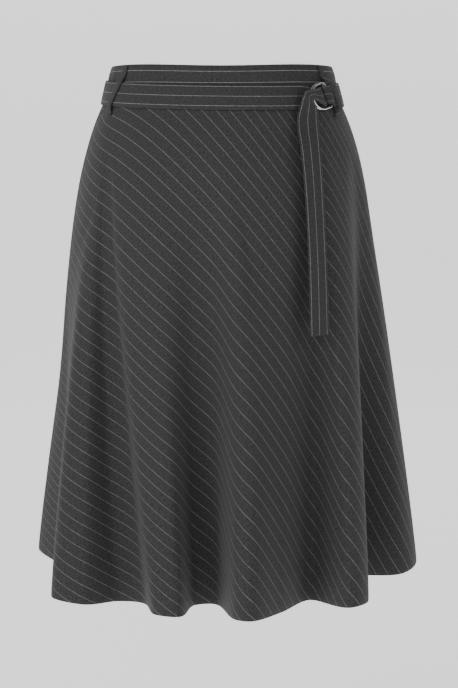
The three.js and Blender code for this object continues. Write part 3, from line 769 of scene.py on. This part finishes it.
def belt_path():
    """Steps (mm, off, wide, rise, slope) from the sewn end, round the bars and the waist."""
    sewn = LAYER + BELT_THICK + GAP
    path = [
        (36, sewn, BELT_WIDE, 0, 0),
        (28, sewn, BELT_WIDE, 0, 0),
        (24.5, sewn + 0.5, 29, 0, 0),
        (21, sewn + 1.9, 28, 0.7, SLOPE * 0.5),
        (17.8, OVER_RINGS - 2.4, 26, 1.4, SLOPE * 0.8),
        (15, OVER_RINGS + 0.2, 25, 1.8, SLOPE),
        (12, OVER_RINGS + stand_off(12), RING_WIDE, 2.2, SLOPE),
    ]
    path += half_turn(WRAP_TURN, OVER_RINGS + stand_off(WRAP_TURN), LAYER, -1, 2.2)
    path.append((18, LAYER, 26, 1, 0))
    path.append((28, LAYER, BELT_WIDE, 0, 0))
    for angle in np.linspace(ring_at(34), ring_at(-28) + 360, BELT_STEPS):
        path.append(((angle - RING["at"]) * MM_PER_DEGREE, LAYER, BELT_WIDE, 0, 0))
    whole = 360 * MM_PER_DEGREE
    path.append((whole - 20, LAYER, 28, 0, 0))
    path.append((whole - 12, LAYER, 25, 0, SLOPE * 0.5))
    path.append((whole - WRAP_END, LAYER, RING_WIDE, 0, SLOPE))
    return path


def on_belt(step, up):
    """An edge of a strap at a step of its path."""
    mm, off, wide, rise, slope = step
    mm = mm + slope * up * wide / 2
    return belt_point(ring_at(mm), off, up + rise * 2 / wide, wide)


def finer(rows, spacing):
    """A centripetal spline through rows of numbers, sampled about every so many millimetres."""
    rows = np.asarray(rows, float)
    ends = [2 * rows[0] - rows[1], 2 * rows[-1] - rows[-2]]
    rows = np.concatenate([[ends[0]], rows, [ends[1]]])
    samples = []
    for r in range(1, len(rows) - 2):
        p = rows[r - 1:r + 3]
        knots = [0.0]
        for k in range(3):
            knots.append(knots[-1] + max(1e-6, np.linalg.norm(p[k + 1] - p[k])) ** 0.5)
        t0, t1, t2, t3 = knots
        count = max(1, int(round(np.linalg.norm(p[2] - p[1]) / 1.5 / spacing)))
        for s in range(count):
            t = t1 + (t2 - t1) * s / count
            a1 = ((t1 - t) * p[0] + (t - t0) * p[1]) / (t1 - t0)
            a2 = ((t2 - t) * p[1] + (t - t1) * p[2]) / (t2 - t1)
            a3 = ((t3 - t) * p[2] + (t - t2) * p[3]) / (t3 - t2)
            b1 = ((t2 - t) * a1 + (t - t0) * a2) / (t2 - t0)
            b2 = ((t3 - t) * a2 + (t - t1) * a3) / (t3 - t1)
            samples.append(((t2 - t) * b1 + (t - t1) * b2) / (t2 - t1))
    samples.append(rows[-2])
    return np.array(samples)


STRAP_ACROSS = 10                # faces across a strap
STRAP_ROUND = 3                  # steps round its folded edge
STRAP_THIN = 0.30                # share by which it thins towards its edges
STRAP_BULGE = 0.3                # its edge's roundness, in thicknesses


def strap_section(thick):
    """Outline of a folded cloth strap: shares across, -1 to 1, with the height of its face."""
    section = []
    for face in (1, -1):
        for k in range(STRAP_ACROSS + 1):
            t = face * (1 - 2 * k / STRAP_ACROSS)
            full = 1 - STRAP_THIN * abs(t) ** 6
            section.append((t, face * full * thick / 2, 0.0))
        for k in range(1, STRAP_ROUND):
            swing = math.pi * k / STRAP_ROUND
            section.append((-face, face * (1 - STRAP_THIN) * math.cos(swing) * thick / 2,
                            math.sin(swing) * thick * STRAP_BULGE))
    return section


def make_strap(name, edges, thick, stripes, node=None, spacing=2.0):
    """A cloth strap between two edges, first and second, with stripes (first, pitch) in mm."""
    rows = np.array([np.concatenate([a, b]) for a, b in edges])
    rows = finer(rows, spacing)
    first, second = rows[:, :3], rows[:, 3:]
    along = np.gradient((first + second) / 2, axis=0)
    down = second - first
    wide = np.linalg.norm(down, axis=1)
    normal = np.cross(down, along)
    normal /= np.linalg.norm(normal, axis=1, keepdims=True)
    arc = lengths_along((first + second) / 2, 0)
    section = strap_section(thick)
    vertices, maps = [], []
    full_wide = wide.max()
    for i in range(len(rows)):
        middle, half = (first[i] + second[i]) / 2, down[i] / 2
        for t, height, bulge in section:
            stretch = 1 + (bulge * abs(t) - thick * STRAP_BULGE) * 2 / wide[i]
            vertices.append(middle + half * t * stretch + normal[i] * height)
            across = (t + 1) / 2 * full_wide
            maps.append(((across - stripes[0]) * PITCH / stripes[1] + PITCH / 2, arc[i]))
    obj = mesh_object(name, vertices, tube_faces(len(rows), len(section)), maps,
                      STRAIGHT_CLOTH)
    if node:
        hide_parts(node)
    return obj, arc[-1], full_wide


BELT_STRIPES = (1.6, 12.6)
belt_edges = [(on_belt(step, 1), on_belt(step, -1)) for step in belt_path()]
belt, belt_long, belt_wide = make_strap("belt_wrap_cloth", belt_edges, BELT_THICK, BELT_STRIPES,
                                        node="belt_wrap")

# The free end comes up through the two rings, turns back over their arcs, and drops. Columns:
# mm from the rings' middle, width, rise.
TAIL_IN_RINGS = [(-7, 19, 0.8), (-11, 16, 1.6), (-16, 14, 2.4), (-18.5, 13.5, 2.4)]
# Its two edges where it hangs: x, y, z of the left edge and of the right edge.
TAIL_HANGING = [
    (102, -99.5, -6, 112, -93.3, -19.5),
    (97.3, -102.8, -16.5, 116.3, -90.2, -24.5),
    (94.3, -105.8, -27.5, 117.8, -91.8, -32.5),
    (91.9, -109.3, -38, 118.2, -94.6, -40),
    (92.1, -114.8, -52, 119.1, -99.8, -53),
    (95, -123.5, -71, 120.5, -108, -72),
    (99.5, -133, -115, 123.5, -117, -115),
    (103.5, -141, -175, 126.5, -127, -175),
    (105.5, -146, -218, 128.5, -132.5, -218),
    (106.5, -150.5, -259, 130, -138, -259),
    (107.5, -155, -299.5, 131, -142.5, -299),
]


def tail_edges():
    path = half_turn(TAIL_TURN, LAYER, OVER_RINGS, 1, 0)
    for mm, wide, rise in TAIL_IN_RINGS:
        path.append((mm, OVER_RINGS + stand_off(mm), wide, rise, SLOPE))
    edges = [(on_belt(step, 1), on_belt(step, -1)) for step in path]
    return edges + [(np.array(row[:3], float), np.array(row[3:], float)) for row in TAIL_HANGING]


TAIL_STRIPES = (1.6, 13.0)
tail, tail_long, tail_wide = make_strap("belt_tail_cloth", tail_edges(), BELT_THICK,
                                        TAIL_STRIPES, node="belt_tail")

# ---------------------------------------------------------------- the belt loops
FLAT_LOOP = LAYER + BELT_THICK / 2 + GAP
LOOP_INSET = 1.5                 # a loop starts this far below the band's top edge
LOOP_STEP = 1.2                  # between two rows of its faces
LOOP_STRIPES = (-2.0, 13.6)      # the stripes pass a loop by
SWING_FROM, SWING_OVER = 0.15, 0.65              # where it swings aside, in shares of its length
# Columns: name, top angle, foot angle, and how far off the band it crosses the belt's upper and
# lower edge. The right front loop also crosses the belt's sewn end, where that comes off the rings.
LOOPS = [
    ("belt_loop_front_left", 213.3, 207, FLAT_LOOP + 0.5, FLAT_LOOP + 0.5),
    ("belt_loop_front_right", 329, 335, 11.9, 9.2),
    ("belt_loop_back_right", 58, 58, FLAT_LOOP, FLAT_LOOP),
    ("belt_loop_back_left", 122, 122, FLAT_LOOP, FLAT_LOOP),
]


def loop_point(top_angle, foot_angle, rise, off, up):
    """An edge of a loop, at a height above the belt's middle."""
    turn = math.radians(top_angle)
    speed = math.hypot(BAND_SEAM_OVAL[1] * math.cos(turn), BAND_SEAM_OVAL[0] * math.sin(turn))
    half = math.degrees(LOOP_WIDE / 2 / speed)
    top = BAND_TOP - LOOP_INSET - belt_height(top_angle)
    share = (top - rise) / (top + LOOP_FOOT)
    swing = min(1.0, max(0.0, (share - SWING_FROM) / SWING_OVER))
    moved = swing * swing * (3 - 2 * swing)
    angle = top_angle + (foot_angle - top_angle) * moved + up * half
    if abs(rise) < BELT_WIDE / 2 + 3:
        return belt_point(angle, off, rise * 2 / BELT_WIDE, BELT_WIDE)
    return outside(angle, belt_height(angle) + rise, off)


for name, top_angle, foot_angle, high, low in LOOPS:
    sewn = LOOP_THICK / 2 + GAP
    high, low = high + sewn, low + sewn
    path = [
        (BAND_TOP - LOOP_INSET - belt_height(top_angle), sewn),
        (24, sewn + 0.2),
        (20.5, sewn + (high - sewn) * 0.5),
        (17.5, sewn + (high - sewn) * 0.95),
        (13, high),
        (-13, low),
        (-17.5, sewn + (low - sewn) * 0.9),
        (-20.5, sewn + (low - sewn) * 0.4),
        (-22.5, sewn + 0.2),
        (-LOOP_FOOT, sewn),
    ]
    edges = [(loop_point(top_angle, foot_angle, rise, off, 1),
              loop_point(top_angle, foot_angle, rise, off, -1)) for rise, off in path]
    loop, loop_long, loop_wide = make_strap(name + "_cloth", edges, LOOP_THICK,
                                            LOOP_STRIPES, node=name, spacing=LOOP_STEP)


# ---------------------------------------------------------------- the D-rings
ARC_STEPS, CORNER_STEPS = 28, 8
WIRE_STEP, WIRE_AROUND = 0.7, 18                 # faces along the wire, in mm, and round it


def ring_outline():
    """A D: points (right, up) over the arc on the left and round the bar's two corners."""
    points = []
    for k in range(ARC_STEPS + 1):
        swing = math.pi * (0.5 + k / ARC_STEPS)
        points.append((RING["arc"] * math.cos(swing), RING["arc"] * math.sin(swing)))
    inset = RING["bar"] - RING["corner"]
    for side in (-1, 1):
        for k in range(CORNER_STEPS + 1):
            swing = math.pi / (2 * CORNER_STEPS) * (k - CORNER_STEPS if side < 0 else k)
            points.append((inset + RING["corner"] * math.cos(swing),
                           side * (RING["arc"] - RING["corner"])
                           + RING["corner"] * math.sin(swing)))
    return points


def make_ring(name, shift, off):
    """A ring of round wire, moved along the belt and this far off the band."""
    lean = math.radians(RING["lean"])
    centre = []
    for right, up in ring_outline():
        mm = right * math.cos(lean) + up * math.sin(lean) + shift
        rise = up * math.cos(lean) - right * math.sin(lean)
        centre.append(belt_point(ring_at(mm), off + stand_off(mm), rise / (BELT_WIDE / 2),
                                 BELT_WIDE))
    # The spline starts one point late, runs on past its start and is cut where it meets it.
    closed = np.array(centre + centre[:3])
    path = finer(closed, WIRE_STEP)
    path = path[len(finer(closed[:2], WIRE_STEP)) - 1:]
    away = 20
    last = int(np.argmin(np.linalg.norm(path[away:] - path[0], axis=1))) + away
    path = path[:last]
    along = np.roll(path, -1, 0) - np.roll(path, 1, 0)
    along /= np.linalg.norm(along, axis=1, keepdims=True)
    flat = np.linalg.svd(path - path.mean(0))[2][2]
    side = np.cross(along, flat)
    side /= np.linalg.norm(side, axis=1, keepdims=True)
    up = np.cross(side, along)
    vertices = []
    for i in range(len(path)):
        for k in range(WIRE_AROUND):
            swing = 2 * math.pi * k / WIRE_AROUND
            vertices.append(path[i] + (side[i] * math.cos(swing) + up[i] * math.sin(swing))
                            * RING["wire"] / 2)
    faces = []
    for i in range(len(path)):
        here, there = i * WIRE_AROUND, (i + 1) % len(path) * WIRE_AROUND
        for k in range(WIRE_AROUND):
            after = (k + 1) % WIRE_AROUND
            faces.append((here + k, here + after, there + after, there + k))
    obj = mesh_object(name + "_wire", vertices, faces, np.zeros((len(vertices), 2)),
                      STEEL)
    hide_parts(name)


make_ring("d_ring_inner", -1.5, FIRST_RING)
make_ring("d_ring_outer", 0, SECOND_RING)


# ---------------------------------------------------------------- the zip
WELD, BEVEL = 1e-6, 0.00022      # metres
BEVEL_STEPS, BEVEL_FROM = 3, math.radians(25)
TAPE_BEHIND = 0.5                # the tape's face behind the cloth it is sewn to
TAPE_ROWS, TAPE_ACROSS = 40, 13
COIL_ROWS, COIL_STEP, COIL_OFF = 30, 1.2, 0.95   # the coils lie this far off the middle


def steel_copy(node, body):
    """The CAD piece with its sharp edges broken, in polished steel."""
    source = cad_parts[node]
    mesh = source.data.copy()
    mesh.name = node + "_steel"
    mesh.materials.clear()
    mesh.materials.append(STEEL)
    obj = bpy.data.objects.new(node + "_steel", mesh)
    bpy.context.scene.collection.objects.link(obj)
    weld = obj.modifiers.new("weld", "WELD")
    weld.merge_threshold = WELD
    bevel = obj.modifiers.new("bevel", "BEVEL")
    bevel.width = BEVEL
    bevel.segments = BEVEL_STEPS
    bevel.limit_method = "ANGLE"
    bevel.angle_limit = BEVEL_FROM
    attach(obj, body)
    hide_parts(node)


steel_copy("zip_slider", BODY)
steel_copy("zip_pull", "zip_pull")


def zip_point(z, side, depth):
    """A point behind the centre back seam: side mm across it and depth mm in from the cloth."""
    angle = ZIP["angle"] - math.degrees(side / WAIST_OVAL[0])
    if z > BAND_SEAM - 2:
        return band_point(angle, z, -BAND_WALL / 2 - depth)
    return skirt_at(angle, z, -SOLID_CLOTH / 2 - ZIP["clear"] - depth)


def zip_heights(count):
    """Heights down the zip, with none at the step between the band and the skirt."""
    above = np.linspace(ZIP["top"], BAND_SEAM - 1, max(3, count // 5))
    below = np.linspace(BAND_SEAM - 10, ZIP["end"], count)
    return np.concatenate([above, below])


def make_tape():
    """The tape, flat behind the seam from the band's top to the zip's end."""
    half, depth = ZIP["wide"] / 2, TAPE_BEHIND + ZIP["thick"] / 2
    rows = np.array([np.concatenate([zip_point(z, -half, depth), zip_point(z, half, depth)])
                     for z in zip_heights(TAPE_ROWS)])
    across = np.linspace(0, 1, TAPE_ACROSS)
    left, right = rows[:, None, :3], rows[:, None, 3:]
    middle = left + (right - left) * across[None, :, None]
    inward = np.array([0, -1, 0]) * ZIP["thick"] / 2
    ring = np.concatenate([middle - inward, (middle + inward)[:, ::-1]], 1)
    arc = lengths_along(middle[:, TAPE_ACROSS // 2], 0)
    wide = np.concatenate([across, across[::-1]]) * ZIP["wide"]
    maps = np.stack(np.broadcast_arrays(wide[None, :], arc[:, None]), -1)
    obj = mesh_object("zip_tape_cloth", ring.reshape(-1, 3),
                      tube_faces(len(rows), ring.shape[1]), maps.reshape(-1, 2),
                      TAPE)
    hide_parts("zip_tape")


def make_coil(name, side):
    """One half of the zip's teeth: a wound coil along the middle of the tape's inner face."""
    turns_per_mm, radius, wire, steps = 0.8, 0.75, 0.32, 10
    spine = finer([zip_point(z, side, TAPE_BEHIND + ZIP["thick"] + radius + wire)
                   for z in zip_heights(COIL_ROWS)], COIL_STEP)
    arc = lengths_along(spine, 0)
    count = int(arc[-1] * turns_per_mm * steps)
    at = np.linspace(0, arc[-1], count)
    centre = np.stack([np.interp(at, arc, spine[:, k]) for k in range(3)], -1)
    swing = at * turns_per_mm * 2 * np.pi
    centre[:, 0] += radius * np.cos(swing)
    centre[:, 1] += radius * np.sin(swing)
    around = 6
    along = np.gradient(centre, axis=0)
    along /= np.linalg.norm(along, axis=1, keepdims=True)
    first = np.cross(along, np.array([0, 0, 1.0]))
    first /= np.linalg.norm(first, axis=1, keepdims=True)
    second = np.cross(along, first)
    turn = (2 * np.pi * np.arange(around) / around)[None, :, None]
    ring = centre[:, None] + (first[:, None] * np.cos(turn) + second[:, None] * np.sin(turn)) * wire
    mesh_object(name, ring.reshape(-1, 3), tube_faces(count, around),
                np.zeros((count * around, 2)), COIL)


make_tape()
make_coil("zip_coil_left", COIL_OFF)
make_coil("zip_coil_right", -COIL_OFF)
